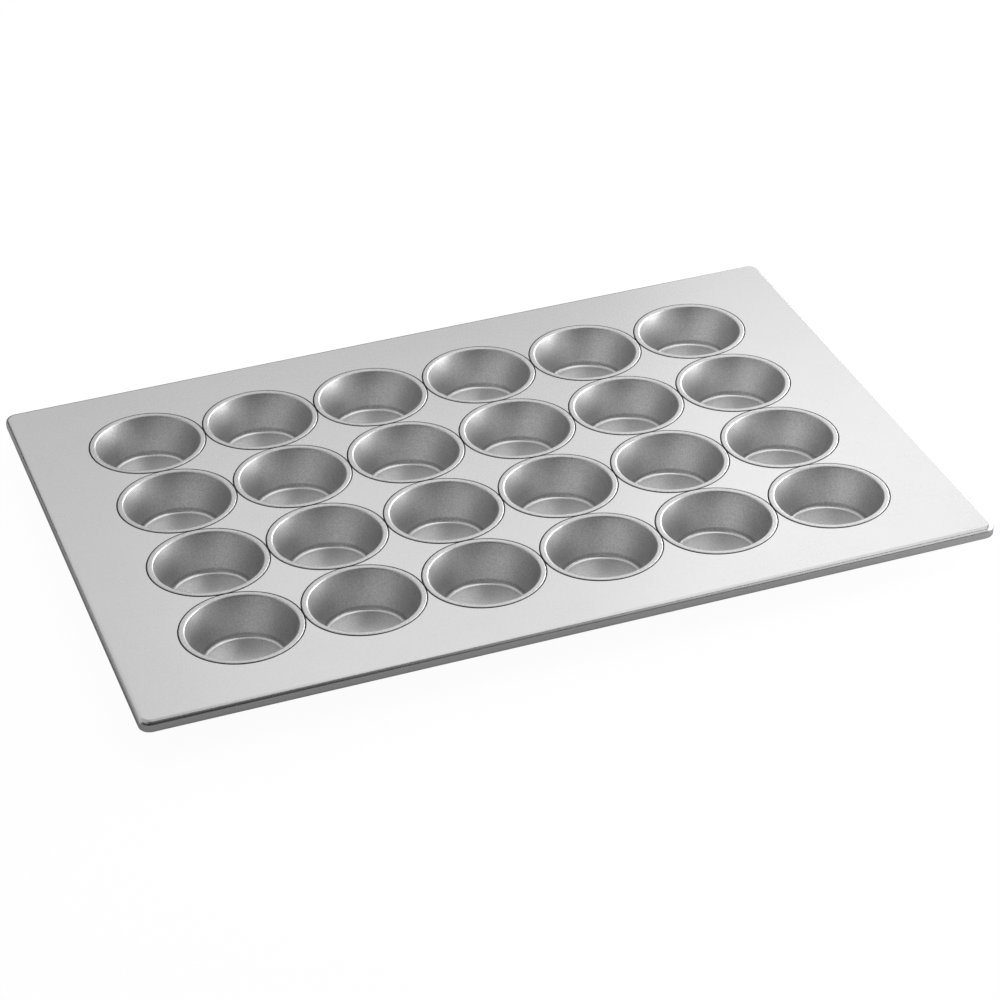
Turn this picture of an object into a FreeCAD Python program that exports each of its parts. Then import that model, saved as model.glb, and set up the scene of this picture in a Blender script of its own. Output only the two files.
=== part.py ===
import FreeCAD, Part
import math
import os

# A full-size bakery muffin tin, in millimetres, +Z up.
# 24 drawn cups hang in a punched frame sheet. Each cup is locked to the sheet by its
# rolled flange above and a folded bead below. The sheet's outer edge is turned down
# and curled round a stiffening wire.
# The origin is under the middle of the tin, on the surface that the cups stand on.

# Layout of the cups. Row 1 is the front row (-Y) and column 1 is on the left (-X).
COLUMNS = 6
ROWS = 4
CUP_PITCH = 92.5

# Frame sheet
FRAME_LENGTH = 657.2
FRAME_WIDTH = 454.0
FRAME_CORNER_RADIUS = 9.0
SHEET_THICKNESS = 0.55

# Rim: the sheet turned down over a rounded edge, then curled inwards round the wire
RIM_HEIGHT = 9.4
RIM_EDGE_RADIUS = 3.2
WIRE_RADIUS = 1.5
WIRE_CLEARANCE = 0.05
CURL_TURN = 250.0

# Cup, made from one disc of thinner sheet
CUP_THICKNESS = 0.5
CUP_DEPTH = 31.2
CUP_FLOOR_FLAT_RADIUS = 29.7
CUP_FLOOR_FILLET = 2.5
CUP_WALL_TAPER = 17.9
CUP_LIP_RADIUS = 1.6

# Seam between a cup and the sheet
FLANGE_RADIUS = 45.75
FLANGE_EDGE_RADIUS = 0.9
FLANGE_STAND = 0.4
SEAM_GAP = 0.4
SEAT_DEPTH = 0.6
SEAT_SHOULDER_RADIUS = 0.4
SEAT_HOLE_RADIUS = 42.4
LOCK_BEAD_RADIUS = 44.2
LOCK_BEAD_THICKNESS = 2 * CUP_THICKNESS

# Heights above the surface that the tin stands on
FLANGE_TOP = CUP_THICKNESS + CUP_DEPTH
SHEET_TOP = FLANGE_TOP - FLANGE_STAND
SEAT_TOP = SHEET_TOP - SEAT_DEPTH
SEAT_UNDERSIDE = SEAT_TOP - SHEET_THICKNESS

# Worked-out sizes of the seat and the curl
SEAT_RADIUS = FLANGE_RADIUS + SEAM_GAP
CURL_RADIUS = WIRE_RADIUS + WIRE_CLEARANCE + SHEET_THICKNESS
WIRE_HEIGHT = SHEET_TOP - RIM_HEIGHT + CURL_RADIUS

AXIS_UP = FreeCAD.Vector(0, 0, 1)
ORIGIN = FreeCAD.Vector(0, 0, 0)


def profile_point(across, height):
    """Return a point of a profile, which is drawn in the XZ plane."""
    return FreeCAD.Vector(across, 0, height)


def unit(degrees):
    """Return the unit vector at an angle in the XZ plane."""
    return profile_point(math.cos(math.radians(degrees)), math.sin(math.radians(degrees)))


def arc_about(centre, radius, first, last):
    """Return an arc edge about a centre, from one angle to another."""
    middle = (first + last) / 2
    points = [centre + unit(angle) * radius for angle in (first, middle, last)]
    return Part.Arc(*points).toShape()


def face_from(edges):
    """Return the face that a closed chain of edges encloses."""
    return Part.Face(Part.Wire(edges))


def bent_strip(start, steps, thickness):
    """Return the section of a bent sheet as a face.

    The sheet sets out along +X from start, on its upper side. A step is ("run", length)
    or ("bend", radius of the upper side, turn), where a positive turn bends it upwards.
    """
    upper = []
    lower = []
    place = start
    heading = 0.0
    for kind, size, *turns in steps:
        side = unit(heading - 90) * thickness
        if kind == "run":
            end = place + unit(heading) * size
            upper.append(Part.makeLine(place, end))
            lower.append(Part.makeLine(place + side, end + side))
            place = end
            continue
        turn = turns[0]
        way = math.copysign(1, turn)
        centre = place + unit(heading + 90 * way) * size
        first = heading - 90 * way
        upper.append(arc_about(centre, size, first, first + turn))
        lower.append(arc_about(centre, size + thickness * way, first, first + turn))
        place = centre + unit(first + turn) * size
        heading += turn
    start_cap = Part.makeLine(start, start + profile_point(0, -thickness))
    end_cap = Part.makeLine(place, place + unit(heading - 90) * thickness)
    return face_from(upper + [end_cap] + lower[::-1] + [start_cap])


def polyline(points):
    """Return the straight edges that join the points in turn."""
    return [Part.makeLine(first, second) for first, second in zip(points, points[1:])]


def spin(face):
    """Return the solid that a profile makes when it is turned about the Z axis."""
    return face.revolve(ORIGIN, AXIS_UP, 360)


def cup_places():
    """Return the name and the centre of every cup."""
    places = {}
    for row in range(1, ROWS + 1):
        for column in range(1, COLUMNS + 1):
            x = (column - (COLUMNS + 1) / 2) * CUP_PITCH
            y = (row - (ROWS + 1) / 2) * CUP_PITCH
            places[f"cup_r{row}_c{column}"] = FreeCAD.Vector(x, y, 0)
    return places


def at_every_cup(shape):
    """Return a copy of the shape at the centre of every cup."""
    return [shape.translated(centre) for centre in cup_places().values()]


def cup_solid():
    """Return one drawn cup, standing on the origin."""
    turn = 90 - CUP_WALL_TAPER
    level_share = 1 - math.cos(math.radians(turn))
    wall_height = CUP_DEPTH - (CUP_FLOOR_FILLET + CUP_LIP_RADIUS) * level_share
    wall_length = wall_height / math.sin(math.radians(turn))
    bends_reach = (CUP_FLOOR_FILLET + CUP_LIP_RADIUS) * math.sin(math.radians(turn))
    wall_reach = wall_length * math.cos(math.radians(turn))
    flange_start = CUP_FLOOR_FLAT_RADIUS + bends_reach + wall_reach
    flange_flat = FLANGE_RADIUS - FLANGE_EDGE_RADIUS - flange_start
    edge_drop = FLANGE_STAND + SEAT_DEPTH - FLANGE_EDGE_RADIUS
    steps = [
        ("run", CUP_FLOOR_FLAT_RADIUS),
        ("bend", CUP_FLOOR_FILLET, turn),
        ("run", wall_length),
        ("bend", CUP_LIP_RADIUS, -turn),
        ("run", flange_flat),
        ("bend", FLANGE_EDGE_RADIUS, -90),
        ("run", edge_drop),
    ]
    drawn = spin(bent_strip(profile_point(0, CUP_THICKNESS), steps, CUP_THICKNESS))
    bead_middle = SEAT_UNDERSIDE - LOCK_BEAD_THICKNESS / 2
    wall_drop = FLANGE_TOP - CUP_LIP_RADIUS * level_share - bead_middle
    lip_reach = CUP_LIP_RADIUS * math.sin(math.radians(turn))
    wall_inside = flange_start - lip_reach - wall_drop * math.tan(math.radians(CUP_WALL_TAPER))
    return drawn.fuse(lock_bead(wall_inside + CUP_THICKNESS / 2)).removeSplitter()


def lock_bead(inner_radius):
    """Return the folded bead that grips the sheet from below, pressed shut."""
    rounding = LOCK_BEAD_THICKNESS / 2
    middle = SEAT_UNDERSIDE - rounding
    nose = profile_point(LOCK_BEAD_RADIUS - rounding, middle)
    top = nose + profile_point(0, rounding)
    bottom = nose - profile_point(0, rounding)
    inner_top = profile_point(inner_radius, SEAT_UNDERSIDE)
    inner_bottom = inner_top - profile_point(0, LOCK_BEAD_THICKNESS)
    edges = [arc_about(nose, rounding, 90, -90)]
    edges += polyline([bottom, inner_bottom, inner_top, top])
    return spin(face_from(edges))


def rim_corners():
    """Return the corner centres, each with the angle that the side after it faces."""
    x = FRAME_LENGTH / 2 - FRAME_CORNER_RADIUS
    y = FRAME_WIDTH / 2 - FRAME_CORNER_RADIUS
    return [
        (FreeCAD.Vector(x, -y, 0), 0),
        (FreeCAD.Vector(x, y, 0), 90),
        (FreeCAD.Vector(-x, y, 0), 180),
        (FreeCAD.Vector(-x, -y, 0), 270),
    ]


def around_rim(section):
    """Return the four sides and four corners that a rim section makes.

    The section's X is its distance from the middle of a corner's curve.
    """
    corners = rim_corners()
    next_centres = [centre for centre, _ in corners[1:] + corners[:1]]
    pieces = []
    for (centre, facing), next_centre in zip(corners, next_centres):
        start = section.rotated(ORIGIN, AXIS_UP, facing).translated(centre)
        pieces.append(start.extrude(next_centre - centre))
        pieces.append(start.revolve(centre, AXIS_UP, -90))
    return pieces[0].fuse(pieces[1:])


def rim_section():
    """Return the section of the turned-down and curled edge of the sheet."""
    straight_height = RIM_HEIGHT - RIM_EDGE_RADIUS - CURL_RADIUS
    steps = [
        ("bend", RIM_EDGE_RADIUS, -90),
        ("run", straight_height),
        ("bend", CURL_RADIUS, -CURL_TURN),
    ]
    start = profile_point(FRAME_CORNER_RADIUS - RIM_EDGE_RADIUS, SHEET_TOP)
    return bent_strip(start, steps, SHEET_THICKNESS)


def flat_sheet():
    """Return the flat middle of the sheet, out to where the rim begins to bend."""
    radius = FRAME_CORNER_RADIUS - RIM_EDGE_RADIUS
    edges = []
    corners = rim_corners()
    next_centres = [centre for centre, _ in corners[1:] + corners[:1]]
    for (centre, facing), next_centre in zip(corners, next_centres):
        circle = Part.Circle(centre, AXIS_UP, radius)
        edges.append(circle.toShape(math.radians(facing - 90), math.radians(facing)))
        outward = FreeCAD.Vector(radius, 0, 0)
        outward = FreeCAD.Rotation(AXIS_UP, facing).multVec(outward)
        edges.append(Part.makeLine(centre + outward, next_centre + outward))
    outline = Part.Face(Part.Wire(Part.__sortEdges__(edges)))
    outline.translate(AXIS_UP * SHEET_TOP)
    return outline.extrude(AXIS_UP * -SHEET_THICKNESS)


def seat_underside():
    """Return the disc of sheet that is pressed down under a cup's flange."""
    radius = SEAT_RADIUS + SHEET_THICKNESS
    thickness = SHEET_TOP - SEAT_UNDERSIDE
    return Part.makeCylinder(radius, thickness, AXIS_UP * SEAT_UNDERSIDE)


def seat_cut():
    """Return what the seat takes out of the top of the sheet, with a rounded shoulder."""
    shoulder_start = SEAT_RADIUS + SEAT_SHOULDER_RADIUS
    shoulder_centre = profile_point(shoulder_start, SHEET_TOP - SEAT_SHOULDER_RADIUS)
    above = SHEET_TOP + SEAT_DEPTH
    edges = [arc_about(shoulder_centre, SEAT_SHOULDER_RADIUS, 90, 180)]
    edges += polyline([
        profile_point(SEAT_RADIUS, SHEET_TOP - SEAT_SHOULDER_RADIUS),
        profile_point(SEAT_RADIUS, SEAT_TOP),
        profile_point(0, SEAT_TOP),
        profile_point(0, above),
        profile_point(shoulder_start, above),
        profile_point(shoulder_start, SHEET_TOP),
    ])
    return spin(face_from(edges))


def hole_cut():
    """Return the punched hole that a cup's wall passes through."""
    return Part.makeCylinder(SEAT_HOLE_RADIUS, RIM_HEIGHT, AXIS_UP * (SHEET_TOP - RIM_HEIGHT))


def frame_sheet():
    """Return the punched, seated and curled frame sheet."""
    sheet = flat_sheet().fuse([around_rim(rim_section())] + at_every_cup(seat_underside()))
    sheet = sheet.removeSplitter()
    sheet = sheet.cut(at_every_cup(seat_cut()))
    return sheet.cut(at_every_cup(hole_cut())).removeSplitter()


def rim_wire():
    """Return the wire inside the curled rim, one closed loop with its ends butt-welded."""
    centre = profile_point(FRAME_CORNER_RADIUS - CURL_RADIUS, WIRE_HEIGHT)
    section = Part.Circle(centre, FreeCAD.Vector(0, 1, 0), WIRE_RADIUS)
    return around_rim(face_from([section.toShape()])).removeSplitter()


def main():
    """Write every sub-part to its own STEP file."""
    os.makedirs("parts", exist_ok=True)
    parts = {"frame_sheet": frame_sheet(), "rim_wire": rim_wire()}
    cup = cup_solid()
    for name, centre in cup_places().items():
        parts[name] = cup.translated(centre)
    for name, shape in parts.items():
        shape.exportStep(f"parts/{name}.step")
        print(name, len(shape.Solids), shape.isValid(), round(shape.Volume, 1))


main()
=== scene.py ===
import math

import bmesh
import bpy
from mathutils import Matrix, Vector


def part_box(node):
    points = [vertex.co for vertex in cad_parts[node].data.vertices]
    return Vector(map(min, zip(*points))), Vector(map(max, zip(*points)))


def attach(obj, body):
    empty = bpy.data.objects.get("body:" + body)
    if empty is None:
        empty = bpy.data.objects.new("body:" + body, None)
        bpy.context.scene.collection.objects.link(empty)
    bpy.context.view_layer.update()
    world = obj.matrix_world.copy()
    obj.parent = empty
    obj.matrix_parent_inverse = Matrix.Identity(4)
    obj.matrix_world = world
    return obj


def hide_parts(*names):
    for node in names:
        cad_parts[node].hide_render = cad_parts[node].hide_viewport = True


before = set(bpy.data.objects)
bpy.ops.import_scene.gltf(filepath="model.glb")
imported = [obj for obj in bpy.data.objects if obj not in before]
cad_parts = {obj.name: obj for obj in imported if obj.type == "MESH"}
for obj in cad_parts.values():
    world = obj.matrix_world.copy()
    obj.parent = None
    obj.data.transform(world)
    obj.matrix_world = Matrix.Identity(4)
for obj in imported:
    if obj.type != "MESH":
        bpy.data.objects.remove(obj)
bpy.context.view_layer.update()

# A full-size bakery muffin tin of satin steel on a pale studio floor.
# Lengths are in metres and angles in degrees. Places and outer sizes come from the packed
# frame. The sections of the sheet and the cups repeat the CAD model's sizes, apart from the
# seam gap and the rounding of the rim, which are a little larger here.

MM = 0.001

# Sheet and rim
SHEET_THICKNESS = 0.55 * MM
CORNER_RADIUS = 9.0 * MM
RIM_EDGE_RADIUS = 4.0 * MM
WIRE_RADIUS = 1.5 * MM
WIRE_CLEARANCE = 0.05 * MM
CURL_TURN = 250.0

# Cups
COLUMNS = 6
ROWS = 4
CUP_THICKNESS = 0.5 * MM
FLOOR_FLAT_RADIUS = 29.7 * MM
FLOOR_FILLET = 2.5 * MM
WALL_TAPER = 17.9
LIP_RADIUS = 1.6 * MM

# Seam between a cup and the sheet
FLANGE_EDGE_RADIUS = 0.9 * MM
FLANGE_STAND = 0.4 * MM
SEAM_GAP = 0.7 * MM
SEAT_DEPTH = 0.6 * MM
SEAT_SHOULDER = 0.4 * MM
SEAT_HOLE_RADIUS = 42.4 * MM
LOCK_BEAD_RADIUS = 44.2 * MM

# Tone and roughness of each steel. The roughness falls by the swing where the tone rises.
SHEET_TONE = 0.74
SHEET_ROUGHNESS = 0.27
CUP_TONE = 0.69
CUP_ROUGHNESS = 0.4
WIRE_TONE = 0.5
WIRE_ROUGHNESS = 0.42
ROUGHNESS_SWING = 0.25
DARKEST_TONE = 0.03

# Light and shade painted into a cup's tone along its shape: how much each changes the tone,
# as a share of it, and where it lies. The floor is painted lighter, the fillet gets a painted
# highlight where the punch also polishes it smoother, and the wall's foot and the seam get
# painted shade. The polished highlight lies between two shares of the fillet round the floor.
FLOOR_PAINTED_LIGHTER = 0.28
POLISH_HIGHLIGHT_LIGHTER = 0.4
POLISH_HIGHLIGHT_START = 0.3
POLISH_HIGHLIGHT_END = 0.75
POLISH_HIGHLIGHT_FADE = 0.5 * MM
FOOT_DARKER = 0.28
FOOT_WIDTH = 0.25 * MM
FOOT_FADE = 0.6 * MM
SEAM_DARKER = 0.95
SEAM_FADE = 0.3 * MM

# Sizes of the patterns in the steel. A streak's width is a share of its distance from the
# cup's axis, and the rings show in patches.
GRAIN_SIZE = 1.1 * MM
MOTTLE_SIZE = 38 * MM
ROLLING_LENGTH = 90 * MM
ROLLING_WIDTH = 0.9 * MM
STREAK_WIDTH = 0.022
RING_LENGTH = 120 * MM
RING_WIDTH = 0.8 * MM
RING_PATCH_LENGTH = 30 * MM
RING_PATCH_HEIGHT = 20 * MM
RING_PATCH_CONTRAST = 4.0
RING_STRENGTH = 0.5

# Fineness of the meshes. Points nearer than CLOSE are one, and TINY stands for zero.
AROUND_CUP = 160
ARC_STEP = 9.0
SHARP_ANGLE = 50.0
CLOSE = 0.001 * MM
TINY = 1e-9

# The sheet is built as a cell round each cup. The outer cells reach this far from the axes
# of their cups, and a plain margin fills the sheet from there to the rim.
BORDER = 60 * MM

# Name of the map that holds each point's place in plan, from its cup's axis
PLAN_MAP = "plan"

# Camera. It looks at a place on the sheet, and its lens and sensor are in millimetres.
CAMERA_AZIMUTH = -18.3
CAMERA_ELEVATION = 32.2
CAMERA_ROLL = -2.34
CAMERA_DISTANCE = 2.395
CAMERA_TARGET = (-0.0019, -0.0488)
CAMERA_LENS = 113.1
CAMERA_SENSOR = 36.0

# Studio floor. It shows its shade and glow, and the steel mirrors its tone.
STUDIO_FLOOR_SIZE = 20
STUDIO_FLOOR_TONE = 0.5
STUDIO_FLOOR_SHADE = 0.07
STUDIO_FLOOR_GLOW = 0.96

# The studio is a tent of soft boxes round the tin. Each is (wall, from, to, bottom, top,
# brightness): the wall it hangs on, its ends along X or Y and its heights. A box on the
# ceiling has its ends along X and then along Y.
TENT_REACH = 1.3
TENT_HEIGHT = 1.5
ROOM_LIGHT = 0.03
BACKDROP_LIGHT = 1.0
SOFT_BOXES = {
    "right_low": ("right", -0.6, 1.3, 0.0, 0.5, 6.2),
    "right_low_front": ("right", -1.3, -0.6, 0.0, 0.5, 1.0),
    "right_middle": ("right", -1.3, 1.3, 0.5, 1.0, 1.7),
    "back_low_left": ("back", -1.3, 0.65, 0.4, 0.8, 0.65),
    "back_low_right": ("back", 0.65, 1.3, 0.0, 0.8, 0.85),
    "back_high_left": ("back", -1.3, 0.0, 0.8, 1.5, 0.75),
    "back_high_middle": ("back", 0.0, 0.65, 0.8, 1.5, 0.95),
    "back_high_right": ("back", 0.65, 1.3, 0.8, 1.5, 1.25),
    "left_high": ("left", -1.3, 1.3, 1.0, 1.5, 0.5),
    "left_low_back": ("left", -0.15, 1.3, 0.0, 1.0, 0.5),
    "left_low_front": ("left", -1.3, -0.15, 0.0, 1.0, 0.02),
    "front_high_left": ("front", -1.3, 0.2, 1.0, 1.5, 0.1),
    "front_middle": ("front", 0.2, 0.6, 0.3, 1.5, 0.3),
    "front_right": ("front", 0.6, 1.3, 0.3, 1.5, 0.9),
    "ceiling_right": ("ceiling", 0.0, 1.3, -0.9, 1.3, 0.95),
    "ceiling_left": ("ceiling", -1.3, 0.0, -0.65, 1.3, 0.4),
}

# The way from the tin to each wall of the tent, and the way along it
WALLS = {
    "right": (Vector((1, 0, 0)), Vector((0, 1, 0))),
    "left": (Vector((-1, 0, 0)), Vector((0, 1, 0))),
    "back": (Vector((0, 1, 0)), Vector((1, 0, 0))),
    "front": (Vector((0, -1, 0)), Vector((1, 0, 0))),
}


def box_of(node):
    """Return the middle, the lowest and the highest corner of a CAD node."""
    low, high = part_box(node)
    return (low + high) / 2, low, high


def grid_places(count, pitch):
    """Return evenly spaced places about zero."""
    return [(step - (count - 1) / 2) * pitch for step in range(count)]


def nearest(places, value):
    """Return the place that is nearest to a value."""
    return min(places, key=lambda place: abs(place - value))


CUP_NODES = sorted(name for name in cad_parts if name.startswith("cup_"))
_, CUP_LOW, CUP_HIGH = box_of(CUP_NODES[0])
_, SHEET_LOW, SHEET_HIGH = box_of("frame_sheet")

FLANGE_RADIUS = (CUP_HIGH.x - CUP_LOW.x) / 2
FLANGE_TOP = CUP_HIGH.z
CUP_DEPTH = FLANGE_TOP - CUP_LOW.z - CUP_THICKNESS
SHEET_TOP = SHEET_HIGH.z
RIM_HEIGHT = SHEET_HIGH.z - SHEET_LOW.z
CURL_RADIUS = WIRE_RADIUS + WIRE_CLEARANCE + SHEET_THICKNESS
SEAT_TOP = SHEET_TOP - SEAT_DEPTH
SEAT_UNDERSIDE = SEAT_TOP - SHEET_THICKNESS
SEAT_RADIUS = FLANGE_RADIUS + SEAM_GAP

# Each cup's place is moved to the nearest point of an exact grid, so that the cells meet
MEASURED = {name: box_of(name)[0] for name in CUP_NODES}
PITCH = 2 * max(centre.x for centre in MEASURED.values()) / (COLUMNS - 1)
CUP_XS = grid_places(COLUMNS, PITCH)
CUP_YS = grid_places(ROWS, PITCH)
CUP_CENTRES = {
    name: Vector((nearest(CUP_XS, centre.x), nearest(CUP_YS, centre.y), centre.z))
    for name, centre in MEASURED.items()
}


# ---------------------------------------------------------------- sections

def arc_points(centre, radius, first, last):
    """Return the points of an arc after its first one, in a section's plane."""
    count = max(2, math.ceil(abs(last - first) / ARC_STEP))
    angles = [math.radians(first + (last - first) * i / count) for i in range(1, count + 1)]
    return [(centre[0] + radius * math.cos(a), centre[1] + radius * math.sin(a)) for a in angles]


def bent_strip(start, steps, thickness):
    """Return the upper and the lower line of a bent sheet's section.

    The sheet sets out level from start, on its upper side. A step is ("run", length)
    or ("bend", radius of the upper side, turn), where a positive turn bends it upwards.
    """
    upper = [start]
    lower = [(start[0], start[1] - thickness)]
    heading = 0.0
    for kind, size, *turns in steps:
        if kind == "run":
            step_x = size * math.cos(math.radians(heading))
            step_z = size * math.sin(math.radians(heading))
            upper.append((upper[-1][0] + step_x, upper[-1][1] + step_z))
            lower.append((lower[-1][0] + step_x, lower[-1][1] + step_z))
            continue
        turn = turns[0]
        way = math.copysign(1, turn)
        to_centre = math.radians(heading + 90 * way)
        centre = (
            upper[-1][0] + size * math.cos(to_centre),
            upper[-1][1] + size * math.sin(to_centre),
        )
        first = heading - 90 * way
        upper += arc_points(centre, size, first, first + turn)
        lower += arc_points(centre, size + thickness * way, first, first + turn)
        heading += turn
    return upper, lower


def cup_section():
    """Return the closed section of a cup, from its axis outwards and back, floor at z = 0."""
    turn = 90 - WALL_TAPER
    level_share = 1 - math.cos(math.radians(turn))
    wall_height = CUP_DEPTH - (FLOOR_FILLET + LIP_RADIUS) * level_share
    wall_length = wall_height / math.sin(math.radians(turn))
    bends_reach = (FLOOR_FILLET + LIP_RADIUS) * math.sin(math.radians(turn))
    flange_start = FLOOR_FLAT_RADIUS + bends_reach + wall_length * math.cos(math.radians(turn))
    steps = [
        ("run", FLOOR_FLAT_RADIUS),
        ("bend", FLOOR_FILLET, turn),
        ("run", wall_length),
        ("bend", LIP_RADIUS, -turn),
        ("run", FLANGE_RADIUS - FLANGE_EDGE_RADIUS - flange_start),
        ("bend", FLANGE_EDGE_RADIUS, -90),
        ("run", FLANGE_STAND + SEAT_DEPTH - FLANGE_EDGE_RADIUS),
    ]
    upper, lower = bent_strip((0, CUP_THICKNESS), steps, CUP_THICKNESS)
    return upper + with_lock_bead(lower)[::-1]


def with_lock_bead(lower):
    """Return the lower line of a cup's section with its folded bead let in."""
    thickness = 2 * CUP_THICKNESS
    nose = (LOCK_BEAD_RADIUS - thickness / 2, SEAT_UNDERSIDE - thickness / 2)
    bead = [(nose[0], nose[1] - thickness / 2)]
    bead += arc_points(nose, thickness / 2, -90, 90)
    bottom = crossing(lower, SEAT_UNDERSIDE - thickness)
    top = crossing(lower, SEAT_UNDERSIDE)
    below = lower[:bottom[0]] + [bottom[1]]
    above = [top[1]] + lower[top[0]:]
    return below + bead + above


def crossing(line, height):
    """Return where a rising line first passes a height: the next point's index and the place."""
    for index in range(1, len(line)):
        before, after = line[index - 1], line[index]
        if before[1] < height <= after[1]:
            share = (height - before[1]) / (after[1] - before[1])
            return index, (before[0] + share * (after[0] - before[0]), height)
    raise ValueError("the line doesn't reach that height")


def rim_section():
    """Return the upper and lower line of the rim, from where the flat sheet ends.

    Its X is the distance from the middle of a corner's curve.
    """
    steps = [
        ("bend", RIM_EDGE_RADIUS, -90),
        ("run", RIM_HEIGHT - RIM_EDGE_RADIUS - CURL_RADIUS),
        ("bend", CURL_RADIUS, -CURL_TURN),
    ]
    start = (CORNER_RADIUS - RIM_EDGE_RADIUS, SHEET_TOP)
    return bent_strip(start, steps, SHEET_THICKNESS)


# ---------------------------------------------------------------- meshes

def finish_mesh(bm, name):
    """Turn a bmesh into an object with smooth faces and crisp edges."""
    bmesh.ops.remove_doubles(bm, verts=bm.verts, dist=CLOSE)
    bmesh.ops.dissolve_degenerate(bm, edges=bm.edges, dist=CLOSE)
    bmesh.ops.recalc_face_normals(bm, faces=bm.faces)
    mesh = bpy.data.meshes.new(name)
    bm.to_mesh(mesh)
    bm.free()
    mesh.shade_smooth()
    mesh.set_sharp_from_angle(angle=math.radians(SHARP_ANGLE))
    piece = bpy.data.objects.new(name, mesh)
    bpy.context.scene.collection.objects.link(piece)
    keep_flats_flat(piece)
    return piece


def keep_flats_flat(piece):
    """Let the large faces set the shading normals, so that flats don't shade as curved."""
    modifier = piece.modifiers.new("flat_normals", "WEIGHTED_NORMAL")
    modifier.keep_sharp = True
    modifier.weight = 100


def lathe(section, name):
    """Return the solid that a closed section makes, turned about the Z axis."""
    bm = bmesh.new()
    rings = []
    for radius, height in section:
        if radius < TINY:
            rings.append([bm.verts.new((0, 0, height))] * AROUND_CUP)
            continue
        ring = []
        for step in range(AROUND_CUP):
            angle = 2 * math.pi * step / AROUND_CUP
            ring.append(bm.verts.new((radius * math.cos(angle), radius * math.sin(angle), height)))
        rings.append(ring)
    for inner, outer in zip(rings, rings[1:]):
        for step in range(AROUND_CUP):
            following = (step + 1) % AROUND_CUP
            corners = [inner[step], outer[step], outer[following], inner[following]]
            # On the axis two of the corners are one
            bm.faces.new(list(dict.fromkeys(corners)))
    keep_plan(bm.faces, bm.loops.layers.uv.new(PLAN_MAP), Vector((0, 0, 0)))
    return finish_mesh(bm, name)


def keep_plan(faces, plan, centre):
    """Store each corner's place in plan, from an upright axis, for the materials to read."""
    for face in faces:
        for loop in face.loops:
            loop[plan].uv = loop.vert.co.xy - centre.xy


def rim_stations():
    """Return the places along the rim: the middle of the corner's curve and the way it faces."""
    x = SHEET_HIGH.x - CORNER_RADIUS
    y = SHEET_HIGH.y - CORNER_RADIUS
    corners = [((x, -y), -90), ((x, y), 0), ((-x, y), 90), ((-x, -y), 180)]
    count = math.ceil(90 / ARC_STEP)
    stations = []
    for middle, facing in corners:
        for step in range(count + 1):
            stations.append((middle, math.radians(facing + 90 * step / count)))
    return stations


def sweep_line(bm, line, closed):
    """Sweep a section's line round the rim and return its rings of vertices."""
    rings = []
    for across, height in line:
        ring = []
        for (x, y), facing in rim_stations():
            place = (x + across * math.cos(facing), y + across * math.sin(facing), height)
            ring.append(bm.verts.new(place))
        rings.append(ring)
    pairs = list(zip(rings, rings[1:]))
    if closed:
        pairs.append((rings[-1], rings[0]))
    for inner, outer in pairs:
        for step in range(len(inner)):
            following = (step + 1) % len(inner)
            bm.faces.new([inner[step], outer[step], outer[following], inner[following]])
    return rings


def clipped(path, limit):
    """Return a path of (radius, height) points with all that lies past a radius drawn in to it."""
    kept = [path[0]]
    for before, after in zip(path, path[1:]):
        if after[0] <= limit:
            kept.append(after)
            continue
        if before[0] <= limit:
            share = (limit - before[0]) / (after[0] - before[0])
            cut = (limit, before[1] + share * (after[1] - before[1]))
        kept.append(cut)
    return kept


def seat_paths():
    """Return the sheet's top and bottom surfaces round a cup, from the hole outwards."""
    shoulder_end = SEAT_RADIUS + SEAT_SHOULDER
    centre = (shoulder_end, SHEET_TOP - SEAT_SHOULDER)
    top = [(SEAT_HOLE_RADIUS, SEAT_TOP), (SEAT_RADIUS, SEAT_TOP)]
    top.append((SEAT_RADIUS, SHEET_TOP - SEAT_SHOULDER))
    top += arc_points(centre, SEAT_SHOULDER, 180, 90)
    outside = SEAT_RADIUS + SHEET_THICKNESS
    bottom = [
        (SEAT_HOLE_RADIUS, SEAT_UNDERSIDE),
        (outside, SEAT_UNDERSIDE),
        (outside, SHEET_TOP - SHEET_THICKNESS),
    ]
    return top, bottom


def cell_limits(centre):
    """Return how far a cup's cell of sheet reaches to +X, +Y, -X and -Y of its centre."""
    half = PITCH / 2
    return [
        BORDER if abs(centre.x - CUP_XS[-1]) < half else half,
        BORDER if abs(centre.y - CUP_YS[-1]) < half else half,
        BORDER if abs(centre.x - CUP_XS[0]) < half else half,
        BORDER if abs(centre.y - CUP_YS[0]) < half else half,
    ]


def cell_edge(limits, angle):
    """Return how far the edge of a cell is from the cup's centre along an angle."""
    reach_x = limits[0] if math.cos(angle) > 0 else limits[2]
    reach_y = limits[1] if math.sin(angle) > 0 else limits[3]
    by_x = reach_x / max(abs(math.cos(angle)), TINY)
    by_y = reach_y / max(abs(math.sin(angle)), TINY)
    return min(by_x, by_y)


def cell_corners(limits):
    """Return the step nearest to each corner of a cell, with the corner's place."""
    corners = {}
    for x in (limits[0], -limits[2]):
        for y in (limits[1], -limits[3]):
            turn = math.atan2(y, x) / (2 * math.pi)
            corners[round(turn * AROUND_CUP) % AROUND_CUP] = (x, y)
    return corners


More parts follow.
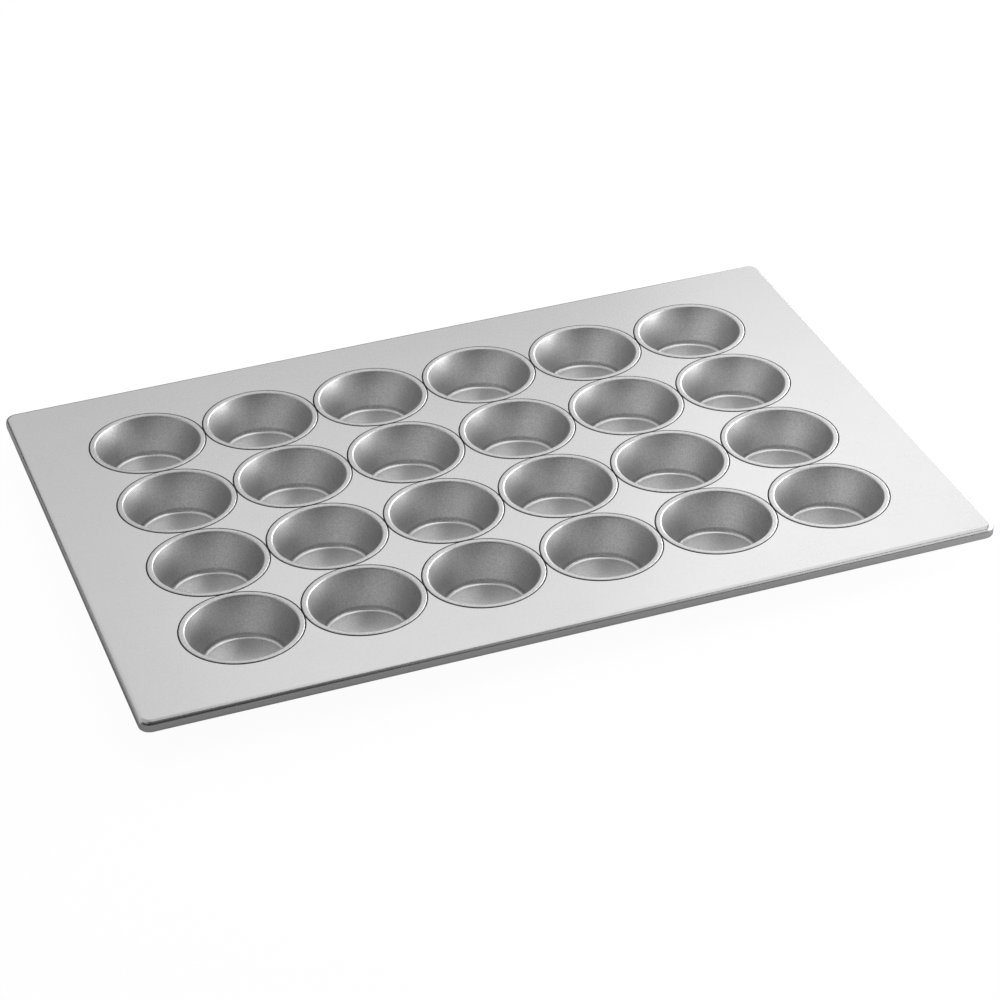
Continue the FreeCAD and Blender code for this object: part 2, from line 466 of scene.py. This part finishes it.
def add_cell(bm, plan, centre):
    """Add the sheet round one cup, out to the edges of its cell."""
    limits = cell_limits(centre)
    corners = cell_corners(limits)
    top, bottom = seat_paths()
    columns = []
    for step in range(AROUND_CUP):
        angle = 2 * math.pi * step / AROUND_CUP
        edge = cell_edge(limits, angle)
        end = corners.get(step, (edge * math.cos(angle), edge * math.sin(angle)))
        column = []
        for path in (clipped(bottom, edge)[::-1], clipped(top, edge)):
            for radius, height in path:
                place = (radius * math.cos(angle), radius * math.sin(angle), height)
                column.append(bm.verts.new(Vector(place) + Vector((centre.x, centre.y, 0))))
        # Where two cups' seats run into each other, the cell ends at the seat's own height
        first_height = SHEET_TOP - SHEET_THICKNESS
        last_height = SHEET_TOP
        if edge <= SEAT_RADIUS + SHEET_THICKNESS:
            first_height = column[0].co.z
        if edge <= SEAT_RADIUS + SEAT_SHOULDER:
            last_height = column[-1].co.z
        first = bm.verts.new((centre.x + end[0], centre.y + end[1], first_height))
        last = bm.verts.new((centre.x + end[0], centre.y + end[1], last_height))
        columns.append([first] + column + [last])
    faces = []
    for step, column in enumerate(columns):
        following = columns[(step + 1) % AROUND_CUP]
        for index in range(len(column) - 1):
            near = column[index:index + 2]
            far = following[index:index + 2]
            faces.append(bm.faces.new(near + far[::-1]))
    keep_plan(faces, plan, centre)


def block_edge_vertices(bm, height):
    """Return how far the cells reach along X and Y, and their outer vertices at a height."""
    x = CUP_XS[-1] + BORDER
    y = CUP_YS[-1] + BORDER
    found = []
    for vert in bm.verts:
        on_x = abs(abs(vert.co.x) - x) < CLOSE
        on_y = abs(abs(vert.co.y) - y) < CLOSE
        if abs(vert.co.z - height) < CLOSE and (on_x or on_y):
            found.append(vert)
    return x, y, found


def add_margin(bm, ring, height):
    """Fill the flat sheet between the cells and a ring of the rim, as four faces."""
    x, y, edge_verts = block_edge_vertices(bm, height)
    stations = rim_stations()
    per_corner = len(stations) // 4
    middles = [corner * per_corner + per_corner // 2 for corner in range(4)]
    sides = [
        (lambda v: abs(v.co.x - x) < CLOSE, lambda v: v.co.y),
        (lambda v: abs(v.co.y - y) < CLOSE, lambda v: -v.co.x),
        (lambda v: abs(v.co.x + x) < CLOSE, lambda v: -v.co.y),
        (lambda v: abs(v.co.y + y) < CLOSE, lambda v: v.co.x),
    ]
    for side, (belongs, order) in enumerate(sides):
        inner = sorted((v for v in edge_verts if belongs(v)), key=order)
        start = middles[side]
        end = middles[(side + 1) % 4]
        if end < start:
            end += len(ring)
        outer = [ring[index % len(ring)] for index in range(start, end + 1)]
        bm.faces.new(outer + inner[::-1])


def make_frame_sheet():
    """Return the frame sheet: cells round the cups, a flat margin and the curled rim."""
    bm = bmesh.new()
    plan = bm.loops.layers.uv.new(PLAN_MAP)
    for centre in CUP_CENTRES.values():
        add_cell(bm, plan, centre)
    cells = len(bm.faces)
    bmesh.ops.remove_doubles(bm, verts=bm.verts, dist=CLOSE)
    upper, lower = rim_section()
    rings = sweep_line(bm, upper + lower[::-1], closed=False)
    add_margin(bm, rings[0], SHEET_TOP)
    add_margin(bm, rings[-1], SHEET_TOP - SHEET_THICKNESS)
    bm.faces.ensure_lookup_table()
    # The margin and the rim lie too far from the tin's own axis to take the shade painted round a
    # cup
    keep_plan(bm.faces[cells:], plan, Vector((0, 0, 0)))
    return finish_mesh(bm, "frame_sheet_steel")


def make_rim_wire():
    """Return the wire inside the curl."""
    bm = bmesh.new()
    centre = (CORNER_RADIUS - CURL_RADIUS, SHEET_LOW.z + CURL_RADIUS)
    sweep_line(bm, arc_points(centre, WIRE_RADIUS, 0, 360), closed=True)
    return finish_mesh(bm, "rim_wire_steel")


# ---------------------------------------------------------------- materials

def add_node(tree, kind, inputs, **settings):
    """Add a node. Its inputs are plain values or the outputs of other nodes."""
    made = tree.nodes.new(kind)
    for name, value in settings.items():
        setattr(made, name, value)
    for key, value in inputs.items():
        if isinstance(value, bpy.types.NodeSocket):
            tree.links.new(value, made.inputs[key])
        else:
            made.inputs[key].default_value = value
    return made


def calculate(tree, operation, *values):
    """Return the result of a sum, a product or another operation on numbers."""
    return add_node(tree, "ShaderNodeMath", dict(enumerate(values)), operation=operation).outputs[0]


def total(tree, terms):
    """Return the sum of (signal, weight) terms."""
    result = 0.0
    for signal, weight in terms:
        result = calculate(tree, "MULTIPLY_ADD", signal, weight, result)
    return result


def position(tree):
    """Return the place of the shaded point in the tin's frame."""
    return add_node(tree, "ShaderNodeNewGeometry", {}).outputs["Position"]


def noise(tree, vector, sizes, detail=2.0):
    """Return noise about zero, with features of the given sizes along X, Y and Z."""
    scales = [1 / size for size in sizes]
    scaled = add_node(tree, "ShaderNodeVectorMath", {0: vector, 1: scales}, operation="MULTIPLY")
    made = add_node(tree, "ShaderNodeTexNoise", {
        "Vector": scaled.outputs[0],
        "Scale": 1.0,
        "Detail": detail,
    })
    return calculate(tree, "SUBTRACT", made.outputs["Fac"], 0.5)


def speckle(tree):
    """Return the fine grain of the satin finish."""
    return noise(tree, position(tree), [GRAIN_SIZE] * 3, detail=3.0)


def mottle(tree):
    """Return the cloudy variation of the finish."""
    return noise(tree, position(tree), [MOTTLE_SIZE] * 3)


def rolling_lines(tree):
    """Return the faint lines that the rolling mill leaves along X."""
    return noise(tree, position(tree), [ROLLING_LENGTH, ROLLING_WIDTH, ROLLING_WIDTH], detail=1.0)


def plan_place(tree):
    """Return the shaded point's place in plan, from the cup's axis."""
    return add_node(tree, "ShaderNodeUVMap", {}, uv_map=PLAN_MAP).outputs[0]


def within(tree, first, last, fade):
    """Return 1 where the distance from a cup's axis lies between two radii, and 0 well outside."""
    plan = plan_place(tree)
    radius = add_node(tree, "ShaderNodeVectorMath", {0: plan}, operation="LENGTH").outputs["Value"]
    middle = (first + last) / 2
    reach = (last - first) / 2
    off = calculate(tree, "ABSOLUTE", calculate(tree, "SUBTRACT", radius, middle))
    fading = add_node(tree, "ShaderNodeMapRange", {
        "Value": off,
        "From Min": reach,
        "From Max": reach + fade,
        "To Min": 1.0,
        "To Max": 0.0,
    }, interpolation_type="SMOOTHSTEP")
    return fading.outputs["Result"]


def painted_seam_shade(tree):
    """Return where shade is painted dark in the seam round a cup's flange, between it and the sheet.
    """
    return within(tree, FLANGE_RADIUS, SEAT_RADIUS, SEAM_FADE)


def floor_area(tree):
    """Return where a cup's flat floor is."""
    return within(tree, -FLOOR_FLAT_RADIUS, FLOOR_FLAT_RADIUS, FLOOR_FILLET / 2)


def fillet_polish_and_highlight(tree):
    """Return where a highlight is painted on the fillet round a cup's floor, which the punch also
    polishes smoother.
    """
    first = FLOOR_FLAT_RADIUS + POLISH_HIGHLIGHT_START * FLOOR_FILLET
    last = FLOOR_FLAT_RADIUS + POLISH_HIGHLIGHT_END * FLOOR_FILLET
    return within(tree, first, last, POLISH_HIGHLIGHT_FADE)


def painted_foot_shade(tree):
    """Return where shade is painted as a dark band at the foot of a cup's wall, just above its
    fillet.
    """
    foot = FLOOR_FLAT_RADIUS + FLOOR_FILLET
    return within(tree, foot, foot + FOOT_WIDTH, FOOT_FADE)


def drawn_streaks(tree):
    """Return the streaks that drawing leaves down a cup's wall."""
    plan = plan_place(tree)
    around = add_node(tree, "ShaderNodeVectorMath", {0: plan}, operation="NORMALIZE").outputs[0]
    return noise(tree, around, [STREAK_WIDTH, STREAK_WIDTH, 1.0])


def drawn_rings(tree):
    """Return the faint rings that the die leaves in patches round a cup's wall."""
    place = position(tree)
    lines = noise(tree, place, [RING_LENGTH, RING_LENGTH, RING_WIDTH], detail=1.0)
    patch_sizes = [RING_PATCH_LENGTH, RING_PATCH_LENGTH, RING_PATCH_HEIGHT]
    patches = noise(tree, place, patch_sizes, detail=0.0)
    strength = calculate(tree, "MULTIPLY_ADD", patches, RING_PATCH_CONTRAST, RING_STRENGTH)
    return calculate(tree, "MULTIPLY", lines, calculate(tree, "MAXIMUM", strength, 0.0))


def satin_steel(name, tone, roughness, tones, bumps):
    """Return a satin steel.

    tones holds (signal, share of the tone) and bumps holds (signal, height in metres).
    """
    material = bpy.data.materials.new(name)
    material.use_nodes = True
    tree = material.node_tree
    shader = tree.nodes["Principled BSDF"]
    shader.inputs["Metallic"].default_value = 1.0
    variation = total(tree, [(signal(tree), weight) for signal, weight in tones])
    varied = calculate(tree, "MULTIPLY_ADD", variation, tone, tone)
    shade = calculate(tree, "MAXIMUM", varied, DARKEST_TONE)
    colour = add_node(tree, "ShaderNodeCombineColor", {0: shade, 1: shade, 2: shade}).outputs[0]
    tree.links.new(colour, shader.inputs["Base Color"])
    rough = calculate(tree, "MULTIPLY_ADD", variation, -ROUGHNESS_SWING, roughness)
    tree.links.new(rough, shader.inputs["Roughness"])
    height = total(tree, [(signal(tree), weight / MM) for signal, weight in bumps])
    bump = add_node(tree, "ShaderNodeBump", {"Height": height, "Distance": MM, "Strength": 1.0})
    tree.links.new(bump.outputs[0], shader.inputs["Normal"])
    return material


def sheet_steel():
    """Return the steel of the frame sheet: smooth, faintly rolled, with shade painted dark in the
    seams.
    """
    tones = [
        (speckle, 0.09),
        (mottle, 0.04),
        (rolling_lines, 0.015),
        # Shade painted dark in the seam round each cup
        (painted_seam_shade, -SEAM_DARKER),
    ]
    bumps = [
        (speckle, 0.001 * MM),
        (rolling_lines, 0.0003 * MM),
        (mottle, 0.04 * MM),
    ]
    return satin_steel("satin_sheet_steel", SHEET_TONE, SHEET_ROUGHNESS, tones, bumps)


def cup_steel():
    """Return the steel of the cups: grainy, marked by the die and polished by the punch, with
    painted light and shade.
    """
    tones = [
        (speckle, 0.8),
        (mottle, 0.06),
        (drawn_streaks, 0.06),
        (drawn_rings, 0.14),
        # Light painted onto the cup's flat floor
        (floor_area, FLOOR_PAINTED_LIGHTER),
        # Highlight painted on the fillet, which the roughness swing also makes smoother
        (fillet_polish_and_highlight, POLISH_HIGHLIGHT_LIGHTER),
        # Shade painted as a dark band at the foot of the wall
        (painted_foot_shade, -FOOT_DARKER),
        # Shade painted dark in the seam at the flange's edge
        (painted_seam_shade, -SEAM_DARKER),
    ]
    bumps = [
        (speckle, 0.012 * MM),
        (drawn_streaks, 0.006 * MM),
        (drawn_rings, 0.008 * MM),
    ]
    return satin_steel("satin_cup_steel", CUP_TONE, CUP_ROUGHNESS, tones, bumps)


def wire_steel():
    """Return the steel of the rim wire: duller and uneven."""
    tones = [
        (speckle, 0.15),
        (mottle, 0.15),
    ]
    bumps = [
        (speckle, 0.01 * MM),
    ]
    return satin_steel("drawn_wire_steel", WIRE_TONE, WIRE_ROUGHNESS, tones, bumps)


# ---------------------------------------------------------------- pieces

def stand_for(piece, node):
    """Let a piece stand for a CAD node: hang it from the root body and hide the node."""
    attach(piece, "root")
    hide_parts(node)


def make_cups():
    """Make the cups, which share one mesh."""
    pattern = lathe(cup_section(), "cup_pattern")
    pattern.data.materials.append(cup_steel())
    for node in CUP_NODES:
        cup = bpy.data.objects.new(node + "_steel", pattern.data)
        bpy.context.scene.collection.objects.link(cup)
        keep_flats_flat(cup)
        cup.location = (CUP_CENTRES[node].x, CUP_CENTRES[node].y, 0)
        stand_for(cup, node)
    bpy.data.objects.remove(pattern)


def make_tin():
    """Make every piece of the tin."""
    sheet = make_frame_sheet()
    sheet.data.materials.append(sheet_steel())
    stand_for(sheet, "frame_sheet")
    wire = make_rim_wire()
    wire.data.materials.append(wire_steel())
    stand_for(wire, "rim_wire")
    make_cups()


# ---------------------------------------------------------------- studio

def make_camera():
    """Set the camera in front of the tin, a little to its left, looking down on it."""
    azimuth = math.radians(CAMERA_AZIMUTH)
    elevation = math.radians(CAMERA_ELEVATION)
    roll = math.radians(CAMERA_ROLL)
    back = Vector((
        math.sin(azimuth) * math.cos(elevation),
        -math.cos(azimuth) * math.cos(elevation),
        math.sin(elevation),
    ))
    right = Vector((0, 0, 1)).cross(back).normalized()
    up = back.cross(right)
    rolled_right = math.cos(roll) * right + math.sin(roll) * up
    rolled_up = math.cos(roll) * up - math.sin(roll) * right
    turn = Matrix((rolled_right, rolled_up, back)).transposed()
    data = bpy.data.cameras.new("camera")
    data.lens = CAMERA_LENS
    data.sensor_width = CAMERA_SENSOR
    camera = bpy.data.objects.new("camera", data)
    place = Vector((*CAMERA_TARGET, SHEET_TOP)) + CAMERA_DISTANCE * back
    camera.matrix_world = Matrix.Translation(place) @ turn.to_4x4()
    bpy.context.scene.collection.objects.link(camera)
    bpy.context.scene.camera = camera


def grey(level):
    """Return a grey of a brightness as a colour."""
    return (level, level, level, 1)


def make_floor():
    """Make the pale floor. It shows white, and the steel mirrors it as a soft grey."""
    bpy.ops.mesh.primitive_plane_add(size=STUDIO_FLOOR_SIZE)
    floor = bpy.context.object
    floor.name = "floor"
    material = bpy.data.materials.new("pale_floor")
    material.use_nodes = True
    tree = material.node_tree
    tree.nodes.clear()
    tone = add_node(tree, "ShaderNodeBsdfDiffuse", {"Color": grey(STUDIO_FLOOR_TONE)})
    shade = add_node(tree, "ShaderNodeBsdfDiffuse", {"Color": grey(STUDIO_FLOOR_SHADE)})
    glow = add_node(tree, "ShaderNodeEmission", {"Strength": STUDIO_FLOOR_GLOW})
    white = add_node(tree, "ShaderNodeAddShader", {0: shade.outputs[0], 1: glow.outputs[0]})
    seen = add_node(tree, "ShaderNodeLightPath", {}).outputs["Is Camera Ray"]
    mixed = add_node(tree, "ShaderNodeMixShader", {0: seen, 1: tone.outputs[0], 2: white.outputs[0]})
    add_node(tree, "ShaderNodeOutputMaterial", {"Surface": mixed.outputs[0]})
    floor.data.materials.append(material)


def make_soft_box(name, wall, first, last, bottom, top, brightness):
    """Hang one evenly bright, rectangular light on a wall of the tent or on its ceiling."""
    width = last - first
    height = top - bottom
    centre = (first + last) / 2
    level = (bottom + top) / 2
    if wall == "ceiling":
        outward = Vector((0, 0, 1))
        middle = Vector((centre, level, TENT_HEIGHT))
    else:
        outward, along = WALLS[wall]
        middle = outward * TENT_REACH + along * centre + Vector((0, 0, level))
    data = bpy.data.lights.new(name, "AREA")
    data.shape = "RECTANGLE"
    data.size = width
    data.size_y = height
    data.energy = math.pi * brightness * width * height
    light = bpy.data.objects.new(name, data)
    light.rotation_euler = outward.to_track_quat("Z", "Y").to_euler()
    light.location = middle
    light.visible_camera = False
    bpy.context.scene.collection.objects.link(light)


def make_backdrop():
    """Set a backdrop that shows white and lights the tin only a little."""
    world = bpy.data.worlds.new("studio")
    bpy.context.scene.world = world
    world.use_nodes = True
    tree = world.node_tree
    tree.nodes.clear()
    seen = add_node(tree, "ShaderNodeLightPath", {}).outputs["Is Camera Ray"]
    room = add_node(tree, "ShaderNodeBackground", {"Color": grey(1), "Strength": ROOM_LIGHT})
    white = add_node(tree, "ShaderNodeBackground", {"Color": grey(1), "Strength": BACKDROP_LIGHT})
    mixed = add_node(tree, "ShaderNodeMixShader", {0: seen, 1: room.outputs[0], 2: white.outputs[0]})
    add_node(tree, "ShaderNodeOutputWorld", {"Surface": mixed.outputs[0]})


make_camera()
make_tin()
make_floor()
make_backdrop()
for box_name, soft_box in SOFT_BOXES.items():
    make_soft_box(box_name, *soft_box)
bpy.context.scene.view_settings.view_transform = "Standard"
